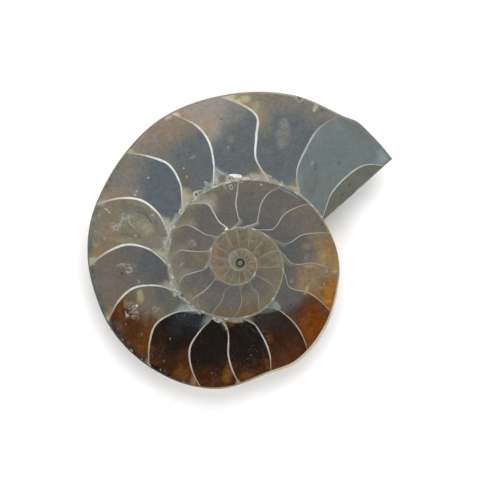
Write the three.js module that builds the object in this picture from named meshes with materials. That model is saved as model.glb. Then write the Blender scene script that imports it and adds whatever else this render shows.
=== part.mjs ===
// Half of a sawn and polished ammonite. It lies on the natural flank of its shell, with the polished
// sawn face up. Millimetres, +Z up. Seen from above the shell grows clockwise, and its younger end is
// sawn off square. Shell, chamber walls and the calcite between them are one fused stone.

import * as THREE from 'three';
import { ParametricGeometry } from 'three/addons/geometries/ParametricGeometry.js';

// Outer wall of the coil, from the sawn end inwards: winding angle in degrees, and radius from the
// coil's centre in mm. The winding angle is the direction anticlockwise from +X, counted on past 360.
const OUTER_WALL = [
  [0, 37.0], [26, 36.6], [44, 36.3], [50.5, 36.3], [55, 35.5], [60, 35.15], [70, 34.95], [76, 34.6],
  [90, 33.7], [100, 33.2], [120, 32.55], [135, 31.6], [150, 30.95], [165, 30.75], [180, 30.1],
  [193, 29.3], [205, 28.8], [230, 27.25], [250, 26.05], [262, 25.1], [275, 23.35], [285, 22.55],
  [298, 22.7], [310, 22.1], [320, 21.45], [345, 19.95], [356, 19.7], [366, 19.35], [376, 18.95],
  [387, 18.5], [415, 17.6], [450, 16.5], [480, 15.4], [510, 14.8], [540, 14.1], [570, 13.2], [600, 11.9],
  [630, 11.1], [660, 10.2], [690, 9.1], [720, 8.45], [780, 7.3], [840, 6.9], [900, 6.0], [960, 4.85],
  [1020, 3.85], [1080, 3.25], [1160, 3.0], [1240, 2.5], [1310, 1.8], [1400, 1.2], [1500, 0.9],
];
const LIP_ANGLE = 34.4;      // where the sawn end leaves the outer wall
const INNER_ANGLE = 387;     // where it meets the outer wall again, one turn further in
const FULL_RADIUS = 36.6;    // radius of the outer wall at the sawn end

const THICKNESS = 7.4;       // polished face down to the flat of the flank, on which the stone rests
const CREST = 0.5;           // where a whorl is thickest, as a share of its outer radius
const SEAM = 0.25;           // where a whorl's flank meets the whorl inside it, as the same share
const HALF_BREADTH = 0.222;  // half the whorl's breadth over its outer radius, at the sawn end
const YOUNG_FATNESS = 0.62;  // how much fatter the younger whorls are for their size, as a power
const SAW_LEAN = -0.0045;    // lean of the saw cut off the shell's middle plane, as growth per mm of y
const FLAT_BLEND = 0.3;      // how softly the whorl's side turns into the flat of the flank
const RIB = { depth: 0.16, perTurn: 27, sweep: 2.6 };
const UMBILICUS = { floor: 2.6, radius: 3.5 };   // matrix left in the middle of the umbilicus

const VENTER = 0.45;         // height of the narrow upright band along the outer wall
const EDGE_ROUND = 0.15;     // eased edge of the polished face
const EDGE_SLOPE = { width: 0.4, angle: 312, spread: 34 };  // where the saw missed the widest line
const PIT = { radius: 0.85, depth: 0.6 };                    // open hole at the coil's centre

// The mesh's columns, as [column, winding angle]: along the sawn end, round the outer wall, and more
// closely where the sawn end crosses the flank.
const COLUMN_STOPS = [[0, INNER_ANGLE - 360], [8, LIP_ANGLE], [122, 366.3], [146, INNER_ANGLE]];
const COLUMNS = 146;
const FACE_ROWS = 2;
const RIM_ROWS = 3;
const FLANK_ROWS = 22;

const { degToRad, lerp, smoothstep } = THREE.MathUtils;

// Radius of the outer wall at a winding angle, on a smooth curve through OUTER_WALL.
function wallRadius(angle) {
  const next = OUTER_WALL.findIndex(([knot]) => knot > angle);
  const i = Math.max(next - 1, 1);
  const [[a0, r0], [a1, r1], [a2, r2], [a3, r3]] = OUTER_WALL.slice(i - 1, i + 3);
  const t = (angle - a1) / (a2 - a1);
  const leaving = (r2 - r0) / (a2 - a0) * (a2 - a1);
  const arriving = (r3 - r1) / (a3 - a1) * (a2 - a1);
  const blend = t * t * (3 - 2 * t);
  return lerp(r1, r2, blend) + leaving * t * (1 - t) ** 2 - arriving * t * t * (1 - t);
}

function polar(angle, radius) {
  return new THREE.Vector2(Math.cos(degToRad(angle)), Math.sin(degToRad(angle))).multiplyScalar(radius);
}

// The sawn end is a plane through these two points of the outline, square to the polished face.
const lip = polar(LIP_ANGLE, wallRadius(LIP_ANGLE));
const inner = polar(INNER_ANGLE, wallRadius(INNER_ANGLE));
const cutNormal = new THREE.Vector2(lip.y - inner.y, inner.x - lip.x).normalize();

function rimRadius(angle) {
  return angle > LIP_ANGLE ? wallRadius(angle) : lip.dot(cutNormal) / polar(angle, 1).dot(cutNormal);
}

// How far the polished face stops short of the widest line. The rounded edge drops by as much.
function edgeWidth(angle) {
  const off = ((angle - EDGE_SLOPE.angle + 540) % 360 - 180) / EDGE_SLOPE.spread;
  return EDGE_ROUND + EDGE_SLOPE.width * Math.exp(-off * off);
}

// Depth of one whorl's side below the shell's middle plane, at a share of its outer radius.
function whorlDepth(share, outer) {
  if (share >= 1 || share <= SEAM) return 0;
  const section = share > CREST
    ? (1 - ((share - CREST) / (1 - CREST)) ** 2.1) ** 0.55
    : (1 - ((CREST - share) / (CREST - SEAM)) ** 2.4) ** 0.5;
  return HALF_BREADTH * outer * (FULL_RADIUS / outer) ** YOUNG_FATNESS * section;
}

function softMin(a, b, blend) {
  const overlap = Math.max(blend - Math.abs(a - b), 0) / blend;
  return Math.min(a, b) - overlap * overlap * blend / 4;
}

// Depth of the natural flank under the polished face: the deepest whorl at that spot, limited by the
// flat that the stone rests on. The outermost whorl stops at the sawn end.
function flankDepth(spot, angle, venterDepth) {
  const radius = spot.length();
  const beyondCut = spot.clone().sub(lip).dot(cutNormal);
  const firstWinding = angle < 372 ? angle : angle - 360;
  let deepest = UMBILICUS.floor * (1 - smoothstep(radius, 0.6 * UMBILICUS.radius, 1.4 * UMBILICUS.radius));
  let share = 0;
  for (let winding = firstWinding; winding < 1400; winding += 360) {
    const outer = wallRadius(winding);
    const kept = winding < 60 ? 1 - smoothstep(beyondCut, 0.02, 1.1) : 1;
    const depth = whorlDepth(radius / outer, outer) * kept;
    if (depth <= deepest) continue;
    deepest = depth;
    share = radius / outer;
  }
  const side = Math.hypot(deepest * (1 + SAW_LEAN * spot.y), venterDepth);
  const ribPhase = degToRad(angle * RIB.perTurn) + RIB.sweep * Math.sin(2 * Math.PI * share);
  const groove = RIB.depth * (0.5 - 0.5 * Math.cos(ribPhase)) * smoothstep(share, SEAM, CREST);
  return softMin(side, THICKNESS, FLAT_BLEND) - groove * smoothstep(side, 1, 3);
}

function columnAngle(column) {
  const i = COLUMN_STOPS.findIndex(([stop]) => stop >= column) || 1;
  const [[from, start], [to, end]] = COLUMN_STOPS.slice(i - 1, i + 1);
  return lerp(start, end, (column - from) / (to - from));
}

// The whole skin. Columns go clockwise round the outline. Rows go from the pit out over the face,
// round the rim, and back in under the flank to the centre.
function skin(across, down, target) {
  const row = down * (FACE_ROWS + RIM_ROWS + FLANK_ROWS);
  const angle = columnAngle((1 - across) * COLUMNS);
  const rim = rimRadius(angle);
  const edge = edgeWidth(angle);
  let spot;
  let depth;
  if (row < 1) {
    spot = polar(angle, PIT.radius * row);
    depth = PIT.depth * (1 - row);
  } else if (row <= FACE_ROWS) {
    spot = polar(angle, lerp(PIT.radius, rim - edge, row - 1));
    depth = 0;
  } else if (row < FACE_ROWS + RIM_ROWS) {
    const round = (row - FACE_ROWS) / (RIM_ROWS - 1) * Math.PI / 2;
    spot = polar(angle, rim - edge + edge * Math.sin(Math.min(round, Math.PI / 2)));
    depth = edge * (1 - Math.cos(Math.min(round, Math.PI / 2)));
  } else {
    const inward = (row - FACE_ROWS - RIM_ROWS) / FLANK_ROWS * Math.PI / 2;
    spot = polar(angle, rim * Math.cos(inward));
    depth = flankDepth(spot, angle, (edge + VENTER) * Math.cos(inward));
  }
  target.set(spot.x, spot.y, THICKNESS - depth);
}

const stone = new ParametricGeometry(skin, COLUMNS, FACE_ROWS + RIM_ROWS + FLANK_ROWS);
stone.computeBoundingBox();
const middle = stone.boundingBox.getCenter(new THREE.Vector3());
stone.translate(-middle.x, -middle.y, -stone.boundingBox.min.z);

const polishedStone = new THREE.MeshStandardMaterial({ color: 0x6b5a4c, roughness: 0.2, metalness: 0 });
const ammonite = new THREE.Mesh(stone, polishedStone);
ammonite.name = 'ammonite_half';

const model = new THREE.Group();
model.add(ammonite);

export default model;
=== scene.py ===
import math
from bisect import bisect_right

import bmesh
import bpy
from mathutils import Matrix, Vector, noise


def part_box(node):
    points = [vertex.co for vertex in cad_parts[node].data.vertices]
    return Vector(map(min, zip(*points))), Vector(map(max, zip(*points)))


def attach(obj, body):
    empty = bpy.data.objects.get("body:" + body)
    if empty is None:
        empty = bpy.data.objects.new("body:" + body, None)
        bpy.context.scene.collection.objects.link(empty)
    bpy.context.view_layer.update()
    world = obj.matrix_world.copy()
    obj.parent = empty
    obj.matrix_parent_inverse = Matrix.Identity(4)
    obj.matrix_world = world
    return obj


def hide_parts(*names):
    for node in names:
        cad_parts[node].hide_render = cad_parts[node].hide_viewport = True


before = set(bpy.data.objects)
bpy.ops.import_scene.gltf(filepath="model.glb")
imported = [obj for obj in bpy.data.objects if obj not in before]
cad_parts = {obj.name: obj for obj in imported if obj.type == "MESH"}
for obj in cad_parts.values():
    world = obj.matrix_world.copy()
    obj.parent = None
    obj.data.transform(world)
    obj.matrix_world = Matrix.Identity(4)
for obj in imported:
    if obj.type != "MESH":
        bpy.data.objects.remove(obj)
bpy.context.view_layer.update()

# ==== The stone =====================================================================================
# One half of an ammonite turned to stone, sawn along its middle. It rests on the natural flank, with
# its whorls, growth ribs and leafy sutures, and the sawn face is cut 0.05 mm low to take the inlays.
# The face's edge was eased on the lap, and the youngest end of the shell was sawn off square.

MM = 0.001
# Outer wall of the coil, as (winding angle in degrees, radius in mm). The winding angle is the
# direction anticlockwise from +X, counted on past 360 as the shell winds inwards.
OUTER_WALL = [
    (0, 37.0), (26, 36.6), (44, 36.3), (50.5, 36.3), (55, 35.5), (60, 35.15), (70, 34.95), (76, 34.6),
    (90, 33.7), (100, 33.2), (120, 32.55), (135, 31.6), (150, 30.95), (165, 30.75), (180, 30.1),
    (193, 29.3), (205, 28.8), (230, 27.25), (250, 26.05), (262, 25.1), (275, 23.35), (285, 22.55),
    (298, 22.7), (310, 22.1), (320, 21.45), (345, 19.95), (356, 19.7), (366, 19.35), (376, 18.95),
    (387, 18.5), (405, 18.0), (420, 17.45), (440, 16.75), (465, 15.95), (495, 15.3), (525, 14.5),
    (550, 13.7), (570, 13.2), (585, 12.6), (600, 11.85), (630, 10.95), (660, 10.1), (680, 9.3),
    (705, 8.68), (735, 8.15), (765, 7.54), (795, 7.1), (825, 6.95), (855, 6.65), (885, 6.2),
    (915, 5.65), (945, 5.05), (975, 4.5), (1005, 4.05), (1050, 3.5), (1080, 3.25), (1110, 3.0),
    (1170, 2.75), (1215, 2.6), (1260, 2.15), (1305, 1.75), (1400, 1.2), (1500, 0.9), (1800, 0.6),
    (2200, 0.4),
]
LIP_ANGLE = 34.4      # where the sawn end leaves the outer wall
INNER_ANGLE = 387     # where it meets the wall again, one turn further in
CUT_REACH = 60        # winding angle past which the stone is clear of the sawn end
CUT_OVERHANG = 15     # degrees before the inner corner from which the first whorl's flank counts
CUT_TAPER = 1.1       # width over which that flank dies away past the saw cut
COIL_END = 1400       # winding angle at which the coil's wall runs into the pit
FULL_RADIUS = 36.6
THICKNESS = 7.4
CREST, SEAM = 0.5, 0.25    # shares of a whorl's radius: its thickest line, and the seam inside it
HALF_BREADTH = 0.222       # half a whorl's breadth, as a share of its radius, at the sawn end
YOUNG_FATNESS = 0.62       # how much fatter for their size the young whorls are
SAW_LEAN = -0.0045         # change of depth per mm towards +Y, where the saw leaned off the middle
FLAT_BLEND = 0.3           # height over which the flank rounds into the flat it rests on
RIB_DEPTH, RIBS_PER_TURN, RIB_SWEEP = 0.16, 27, 2.6
GROWTH_LINE_DEPTH, GROWTH_LINES_PER_RIB = 0.035, 5
UMBILICUS_FLOOR, UMBILICUS_RADIUS = 2.6, 3.5
VENTER = 0.45              # height of the upright band along the rim
EDGE_ROUND = 0.15          # width of the eased edge, and how much wider it slopes at the lower right
EDGE_SLOPE_WIDTH, EDGE_SLOPE_ANGLE, EDGE_SLOPE_SPREAD = 0.4, 312, 34
PIT_RADIUS, PIT_DEPTH = 0.85, 0.6
PIT_DRAFT = 0.1            # how much narrower the pit is at its floor
FACE_MARGIN = 0.03         # how far the face's recess stops short of the eased edge
RECESS = 0.05              # how far the stone's face lies under the polished surface of the inlays
WEATHERING = 0.09          # depth of the dents that weathering left in the flank


def through(knots, at):
    """Height of a smooth curve drawn through the knots."""
    i = min(max(bisect_right(knots, (at, math.inf)) - 1, 1), len(knots) - 3)
    (a0, r0), (a1, r1), (a2, r2), (a3, r3) = knots[i - 1:i + 3]
    t = (at - a1) / (a2 - a1)
    leaving = (r2 - r0) / (a2 - a0) * (a2 - a1)
    arriving = (r3 - r1) / (a3 - a1) * (a2 - a1)
    return (r1 + (r2 - r1) * t * t * (3 - 2 * t)
            + leaving * t * (1 - t) ** 2 - arriving * t * t * (1 - t))


def smooth(value, low, high):
    """0 below low, 1 above high, and a soft step between."""
    t = min(max((value - low) / (high - low), 0), 1)
    return t * t * (3 - 2 * t)


def polar(angle, radius):
    return Vector((math.cos(math.radians(angle)), math.sin(math.radians(angle)))) * radius


def direction(spot):
    """The angle of a spot round the coil's centre, in degrees anticlockwise from +X."""
    return math.degrees(math.atan2(spot.y, spot.x))


lip = polar(LIP_ANGLE, through(OUTER_WALL, LIP_ANGLE))
inner_corner = polar(INNER_ANGLE, through(OUTER_WALL, INNER_ANGLE))
cut_normal = Vector((lip.y - inner_corner.y, inner_corner.x - lip.x)).normalized()


def rim_radius(angle):
    """Widest line of the stone, along the outer wall and then along the sawn end."""
    if angle > LIP_ANGLE:
        return through(OUTER_WALL, angle)
    return lip.dot(cut_normal) / polar(angle, 1).dot(cut_normal)


def edge_width(angle):
    """How far the polished face stops short of the widest line."""
    off = ((angle - EDGE_SLOPE_ANGLE + 540) % 360 - 180) / EDGE_SLOPE_SPREAD
    return EDGE_ROUND + EDGE_SLOPE_WIDTH * math.exp(-off * off)


def whorl_depth(share, outer):
    """Depth of one whorl's side at a share of its outer radius."""
    if share >= 1 or share <= SEAM:
        return 0
    if share > CREST:
        section = (1 - ((share - CREST) / (1 - CREST)) ** 2.1) ** 0.55
    else:
        section = (1 - ((CREST - share) / (CREST - SEAM)) ** 2.4) ** 0.5
    return HALF_BREADTH * outer * (FULL_RADIUS / outer) ** YOUNG_FATNESS * section


def flank(spot, angle, venter_depth):
    """(depth, winding angle, share) of the natural flank under a spot of the face."""
    radius = spot.length
    beyond_cut = (spot - lip).dot(cut_normal)
    deepest = UMBILICUS_FLOOR * (1 - smooth(radius, 0.6 * UMBILICUS_RADIUS, 1.4 * UMBILICUS_RADIUS))
    on, share = COIL_END, 0
    winding = angle if angle < INNER_ANGLE - CUT_OVERHANG else angle - 360
    while winding < COIL_END:
        outer = through(OUTER_WALL, winding)
        kept = 1 - smooth(beyond_cut, 0.02, CUT_TAPER) if winding < CUT_REACH else 1
        depth = whorl_depth(radius / outer, outer) * kept
        if depth > deepest:
            deepest, on, share = depth, winding, radius / outer
        winding += 360
    side = math.hypot(deepest * (1 + SAW_LEAN * spot.y), venter_depth)
    rib = math.radians(angle * RIBS_PER_TURN) + RIB_SWEEP * math.sin(2 * math.pi * share)
    groove = (RIB_DEPTH * (0.5 - 0.5 * math.cos(rib))
              + GROWTH_LINE_DEPTH * (0.5 - 0.5 * math.cos(GROWTH_LINES_PER_RIB * rib)))
    dent = WEATHERING * max(0, noise.fractal(Vector((spot.x, spot.y, 0)) * 0.6, 0.9, 2.1, 4))
    overlap = max(FLAT_BLEND - abs(side - THICKNESS), 0) / FLAT_BLEND
    depth = min(side, THICKNESS) - overlap * overlap * FLAT_BLEND / 4
    return depth - (groove * smooth(share, SEAM, CREST) + dent) * smooth(side, 1, 3), on, share


outline = [polar(quarter / 4, rim_radius(quarter / 4))
           for quarter in range(4 * (INNER_ANGLE - 360), 4 * INNER_ANGLE)]
outline.append(lip)
outline.append(inner_corner)
low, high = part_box("ammonite_half")
coil = Vector((
    (low.x + high.x) / 2 / MM - (min(p.x for p in outline) + max(p.x for p in outline)) / 2,
    (low.y + high.y) / 2 / MM - (min(p.y for p in outline) + max(p.y for p in outline)) / 2,
))
face_height = high.z / MM


def put(spot, height):
    """A place in the frame, in metres, from a spot round the coil's centre and a height in mm."""
    return Vector((spot.x + coil.x, spot.y + coil.y, height)) * MM


FACE_ROWS, RIM_ROWS, FLANK_ROWS = 5, 5, 68
STONE_ROWS = FACE_ROWS + RIM_ROWS + FLANK_ROWS
STONE_COLUMNS = 600


def stone_skin(angle, row):
    """A point of the stone's skin. Rows go from the pit out over the face, round the rim and back."""
    rim = rim_radius(angle)
    edge = edge_width(angle)
    if row < FACE_ROWS:
        radius, depth = (
            (0, PIT_DEPTH), (PIT_RADIUS - PIT_DRAFT, PIT_DEPTH), (PIT_RADIUS, RECESS),
            ((rim - edge) / 2, RECESS), (rim - edge - FACE_MARGIN, RECESS),
        )[row]
        return put(polar(angle, radius), face_height - depth)
    if row < FACE_ROWS + RIM_ROWS:
        bend = (row - FACE_ROWS) / (RIM_ROWS - 1) * math.pi / 2
        return put(polar(angle, rim - edge + edge * math.sin(bend)),
                   face_height - edge * (1 - math.cos(bend)))
    inward = (row - FACE_ROWS - RIM_ROWS + 1) / FLANK_ROWS * math.pi / 2
    spot = polar(angle, rim * math.cos(inward))
    return put(spot, face_height - flank(spot, angle, (edge + VENTER) * math.cos(inward))[0])


def column_angle(turned):
    """Winding angle of a column, with one column on each corner of the sawn end."""
    angle = INNER_ANGLE - 360 + turned
    step = 360 / STONE_COLUMNS
    return LIP_ANGLE if abs(angle - LIP_ANGLE) < step / 2 else angle


def new_object(name, bm, *finishes):
    """Makes a finished bmesh an object of the scene."""
    mesh = bpy.data.meshes.new(name)
    bm.to_mesh(mesh)
    bm.free()
    for finish in finishes:
        mesh.materials.append(finish)
    made = bpy.data.objects.new(name, mesh)
    bpy.context.scene.collection.objects.link(made)
    return made


def new_piece(name, bm, *finishes):
    """Makes a finished bmesh a smooth piece of the object that rides on the stone's body."""
    piece = new_object(name, bm, *finishes)
    for polygon in piece.data.polygons:
        polygon.use_smooth = True
    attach(piece, "root")
    return piece


def new_finish(name, roughness):
    """A new material, with its node tree and shader."""
    finish = bpy.data.materials.new(name)
    finish.use_nodes = True
    shader = finish.node_tree.nodes["Principled BSDF"]
    shader.inputs["Roughness"].default_value = roughness
    return finish, finish.node_tree, shader


def add_node(tree, kind, wires=(), **settings):
    """Adds a node. A wire is (input, value or the socket that feeds it)."""
    made = tree.nodes.new(kind)
    for setting, value in settings.items():
        setattr(made, setting, value)
    for socket, value in wires:
        if isinstance(value, bpy.types.NodeSocket):
            tree.links.new(value, made.inputs[socket])
        else:
            made.inputs[socket].default_value = value
    return made


def grain(tree, scale, detail=3.0, roughness=0.55, distortion=0.0):
    """Noise on the object's own coordinates, with scale in features per metre."""
    where = add_node(tree, "ShaderNodeTexCoord")
    made = add_node(tree, "ShaderNodeTexNoise", [
        ("Vector", where.outputs["Object"]), ("Scale", scale), ("Detail", detail),
        ("Roughness", roughness), ("Distortion", distortion)])
    return made.outputs["Fac"]


def spots(tree, scale, size, rarity):
    """Scattered ragged spots: 1 inside a spot, in the share of cells that rarity leaves."""
    where = add_node(tree, "ShaderNodeTexCoord")
    cells = add_node(tree, "ShaderNodeTexVoronoi", [
        ("Vector", where.outputs["Object"]), ("Scale", scale)])
    ragged = calc(tree, "MULTIPLY", calc(tree, "SUBTRACT", grain(tree, scale * 3), 0.5), size * 2.5)
    inside = remap(tree, calc(tree, "ADD", cells.outputs["Distance"], ragged), size, size * 0.4)
    pick = add_node(tree, "ShaderNodeSeparateColor", [("Color", cells.outputs["Color"])])
    chosen = remap(tree, pick.outputs["Red"], rarity, rarity + 0.02)
    return calc(tree, "MULTIPLY", inside, chosen)


def remap(tree, value, low, high, to_low=0, to_high=1):
    """A soft step from to_low, where the value is low, to to_high, where it is high."""
    made = add_node(tree, "ShaderNodeMapRange", [
        ("Value", value), ("From Min", low), ("From Max", high),
        ("To Min", to_low), ("To Max", to_high)], interpolation_type="SMOOTHSTEP")
    return made.outputs["Result"]


def veins(tree, scale, detail, distortion, low, high):
    """Thin wandering lines: 1 on a line, where the noise crosses its middle value."""
    wave = grain(tree, scale, detail, 0.6, distortion)
    off = calc(tree, "ABSOLUTE", calc(tree, "SUBTRACT", wave, 0.5))
    return remap(tree, off, high, low)


def calc(tree, operation, a, b=0):
    """One step of arithmetic on numbers or the sockets that feed them."""
    return add_node(tree, "ShaderNodeMath", [(0, a), (1, b)], operation=operation).outputs[0]


def mix(tree, share, a, b, blend="MIX"):
    """Colour a with that share of colour b over it."""
    made = add_node(tree, "ShaderNodeMix", [(0, share), (6, a), (7, b)],
                    data_type="RGBA", blend_type=blend)
    return made.outputs[2]


def times(tree, a, b):
    """Colour a darkened or tinted by colour b."""
    return mix(tree, 1.0, a, b, "MULTIPLY")


def tone(red, green, blue):
    """A colour as the eye names it on a 0 to 255 scale, in the linear light that shaders need."""
    return tuple(
        (c / 255 / 12.92 if c < 11 else ((c / 255 + 0.055) / 1.055) ** 2.4)
        for c in (red, green, blue)) + (1,)


def dent(tree, shader, height, depth):
    """Feeds a height, in metres at 1, to the shader's normal."""
    bump = add_node(tree, "ShaderNodeBump", [("Height", height), ("Distance", depth)])
    tree.links.new(bump.outputs["Normal"], shader.inputs["Normal"])


# Natural shell: cream and tan, stained brown, darker brown towards the seam between whorls, and dark
# suture lines. UV map Whorl holds the winding angle, in chambers, and the share of the outer radius.
natural_shell, tree, shader = new_finish("natural_shell", 0.5)
whorl = add_node(tree, "ShaderNodeUVMap", uv_map="Whorl")
along, across = add_node(
    tree, "ShaderNodeSeparateXYZ", [("Vector", whorl.outputs["UV"])]).outputs[0:2]
mottle = remap(tree, grain(tree, 160, 6, 0.6, 0.4), 0.36, 0.64)
stain = remap(tree, grain(tree, 75, 5, 0.6, 0.8), 0.5, 0.68)
fine = grain(tree, 1800, 4, 0.6)
shell_colour = mix(tree, mottle, tone(196, 178, 148), tone(150, 126, 96))
shell_colour = mix(tree, stain, shell_colour, tone(104, 78, 54))
pearl = remap(tree, grain(tree, 210, 3, 0.5, 1.2), 0.58, 0.7, 0, 0.55)
shell_colour = mix(tree, pearl, shell_colour, tone(206, 200, 186))
lobes = calc(tree, "MULTIPLY", calc(tree, "SINE", calc(tree, "MULTIPLY", across, 46)), 0.17)
leaves = calc(tree, "MULTIPLY", calc(tree, "SINE", calc(tree, "MULTIPLY", across, 131)), 0.07)
ragged = calc(tree, "MULTIPLY", calc(tree, "SUBTRACT", grain(tree, 900, 3, 0.7), 0.5), 0.3)
suture = calc(tree, "ADD", calc(tree, "ADD", along, lobes), calc(tree, "ADD", leaves, ragged))
suture = calc(tree, "ABSOLUTE", calc(tree, "SUBTRACT", calc(tree, "FRACT", suture), 0.5))
suture_line = calc(tree, "MULTIPLY", remap(tree, suture, 0.05, 0.02, 0, 0.75),
                   remap(tree, grain(tree, 130), 0.4, 0.55))
shell_colour = mix(tree, suture_line, shell_colour, tone(70, 52, 38))
# Along the rim the shell is worn down to grey stone: dark beside the mother-of-pearl, and pale where
# the edge slopes.
worn = remap(tree, across, 0.93, 0.985, 0, 0.8)
eased = calc(tree, "MULTIPLY", remap(tree, along, 11.2, 12.4), remap(tree, along, 14.8, 14))
stained = calc(tree, "MULTIPLY", remap(tree, along, 5.2, 8.6), remap(tree, along, 10.7, 9.9))
edge_colour = mix(tree, eased, tone(126, 120, 106), tone(190, 181, 160))
edge_colour = mix(tree, stained, edge_colour, tone(58, 54, 48))
edge_colour = times(tree, edge_colour, remap(tree, mottle, 0, 1, 0.85, 1.1))
shell_colour = mix(tree, worn, shell_colour, edge_colour)
# Darker brown towards the seam between whorls.
seam_darkening = remap(tree, across, SEAM + 0.1, SEAM, 0, 0.7)
shell_colour = mix(tree, seam_darkening, shell_colour, tone(92, 76, 58))
shell_colour = mix(tree, remap(tree, fine, 0.3, 0.7, 0, 0.35), shell_colour, tone(110, 94, 74))
tree.links.new(shell_colour, shader.inputs["Base Color"])
tree.links.new(remap(tree, mottle, 0, 1, 0.38, 0.62), shader.inputs["Roughness"])
dent(tree, shader, calc(tree, "SUBTRACT", fine, suture_line), 0.00006)

# Sawn rock at the youngest end: grey mudstone with saw marks, left matt.
sawn_rock, tree, shader = new_finish("sawn_rock", 0.7)
where = add_node(tree, "ShaderNodeTexCoord")
marks = add_node(tree, "ShaderNodeTexWave", [
    ("Vector", where.outputs["Object"]), ("Scale", 420), ("Distortion", 3.0), ("Detail", 3.0)],
    bands_direction="Z")
rock = mix(tree, grain(tree, 420, 6, 0.65), tone(88, 90, 82), tone(126, 128, 120))
rock = mix(tree, remap(tree, marks.outputs["Fac"], 0.6, 0.9, 0, 0.25), rock, tone(150, 148, 136))
rock = mix(tree, spots(tree, 1500, 0.28, 0.75), rock, tone(60, 58, 52))
tree.links.new(rock, shader.inputs["Base Color"])
dent(tree, shader, marks.outputs["Fac"], 0.00004)


def spin_rows(bm, first, count, columns):
    """Spins a disc of numbered rows, each as far from the middle as its number."""
    profile = [bm.verts.new((row, 0, 0)) for row in range(first, first + count)]
    spokes = [bm.edges.new(pair) for pair in zip(profile, profile[1:])]
    bmesh.ops.spin(bm, geom=profile + spokes, axis=(0, 0, 1), cent=(0, 0, 0),
                   angle=2 * math.pi, steps=columns, use_merge=True)


DEGREES_PER_CHAMBER = 24    # the Whorl map's unit along the coil, with one suture in each
CUT_SKIN = 0.9              # width of the strip beside the saw cut that the sawn rock may take
CUT_FACING = 0.8            # how squarely a face there must look out of the cut
bm = bmesh.new()
spin_rows(bm, 0, STONE_ROWS, STONE_COLUMNS)
for vert in bm.verts:
    row = round(vert.co.length)
    turned = direction(vert.co) % 360
    turned = 0 if turned > 360 - 180 / STONE_COLUMNS else turned
    vert.co = stone_skin(column_angle(turned), row)
bmesh.ops.remove_doubles(bm, verts=bm.verts, dist=2e-6)
bmesh.ops.recalc_face_normals(bm, faces=bm.faces)
whorl_map = bm.loops.layers.uv.new("Whorl")
for side in bm.faces:
    middle = side.calc_center_median() / MM - coil.to_3d()
    angle = (direction(middle) - INNER_ANGLE) % 360 + INNER_ANGLE - 360
    winding = flank(middle.to_2d(), angle, 0)[1]
    for loop in side.loops:
        spot = (loop.vert.co / MM - coil.to_3d()).to_2d()
        swing = direction(spot) - angle
        at = winding + (swing + 180) % 360 - 180
        outer = through(OUTER_WALL, max(at, INNER_ANGLE - 361))
        loop[whorl_map].uv = at / DEGREES_PER_CHAMBER, spot.length / outer
    near_cut = angle < CUT_REACH and abs((middle.to_2d() - lip).dot(cut_normal)) < CUT_SKIN
    side.material_index = int(near_cut and side.normal.to_2d().dot(cut_normal) > CUT_FACING)
stone = new_piece("stone", bm, natural_shell, sawn_rock)
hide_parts("ammonite_half")

# ==== Chamber fillings ==============================================================================
# Each chamber of the shell filled with calcite that grew inwards from its walls: slate-blue and grey
# where it took up clay, brown to near black and amber where it took up iron. In the top chambers the
# slate grey also holds a painted sheen that stands for reflected light on the polish. Ground flat and
# polished.

CHAMBER_SHARES = (0, 0.12, 0.25, 0.5, 0.75, 1)
# Winding angle of each chamber wall at those shares of the way from the inner to the outer wall.
SEPTA = [
    (28.5, 33.6, 37.4, 39.1, 37.8, 30.3), (48.6, 55.3, 58.9, 60.1, 59.8, 56),
    (70.5, 77.2, 81.7, 82.8, 84.2, 97), (109.5, 107, 105, 104.4, 107.8, 115.5),
    (138, 131.7, 127.2, 125.9, 130.5, 136), (160, 153.3, 148.9, 147.6, 151.4, 157.8),
    (182.5, 175.6, 171.3, 170.6, 175, 181.3), (206, 198.9, 194.7, 193.1, 197.2, 204.2),
    (229.5, 220.6, 216.7, 215.9, 221.4, 228.5), (243.5, 241.3, 239.4, 239.1, 244.4, 252.2),
    (250, 258, 260.9, 262.4, 265.6, 269.6), (273, 281.7, 285, 287.6, 287.8, 285.8),
    (300, 307.2, 310.3, 311.9, 310.8, 307.8), (352, 336, 333.9, 336.3, 334.8, 331.7),
    (378, 362, 358.6, 360, 357.8, 356.1), (398, 385, 382.4, 384.4, 381.8, 378.5),
    (424, 408.5, 405.8, 408, 405, 400.6), (446, 429, 428.7, 430.6, 428.3, 421.3),
    (465, 452, 452.8, 454.3, 452.4, 451), (469.5, 472.8, 476.9, 477.8, 479.4, 492),
    (491, 495.5, 500.2, 502.2, 504.5, 514), (516, 521, 524.4, 526.7, 528.9, 541),
    (545, 548.5, 550.8, 551.8, 553.7, 564), (568, 573, 576.1, 577.8, 577, 578),
    (614, 602, 601.1, 603.9, 601.8, 600.5), (640, 633, 631.7, 632.2, 628.3, 623),
    (660, 656.5, 656.7, 659.4, 654.5, 651), (677, 681, 683.9, 685.5, 685.5, 678),
    (703, 706.5, 709, 711.7, 714.5, 713), (731, 734, 736.5, 739, 741, 736),
    (750, 758, 762.5, 763, 766.5, 767), (778, 782.5, 785.5, 790, 792, 793),
    (810, 812, 815, 814.5, 816, 815), (835, 836, 837, 837.5, 839, 833),
    (855, 859, 861, 864, 864.5, 860), (880, 884, 886, 887, 887, 884),
]
YOUNG_LEAN = (-7, -3.5, -1, 0, 1, -2)
SEPTA += [tuple(middle + lean for lean in YOUNG_LEAN) for middle in range(911, 1190, 25)]
OLDEST = 1480         # winding angle at which the first chamber opens into the pit
SEPTA.append((OLDEST,) * 6)


def septum_angle(number, share):
    """Winding angle of a chamber wall at a share of the way out."""
    angles = SEPTA[number]
    knots = [(-0.12, 2 * angles[0] - angles[1]), *zip(CHAMBER_SHARES, angles),
             (1.25, 2 * angles[-1] - angles[-2])]
    return through(knots, share)


INLAY_GAP = 0.02      # hair gap round the inlays, at the eased edge, the saw cut and the pit
BESIDE_CUT = 120      # winding angle up to which a spot is kept off the saw cut


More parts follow.
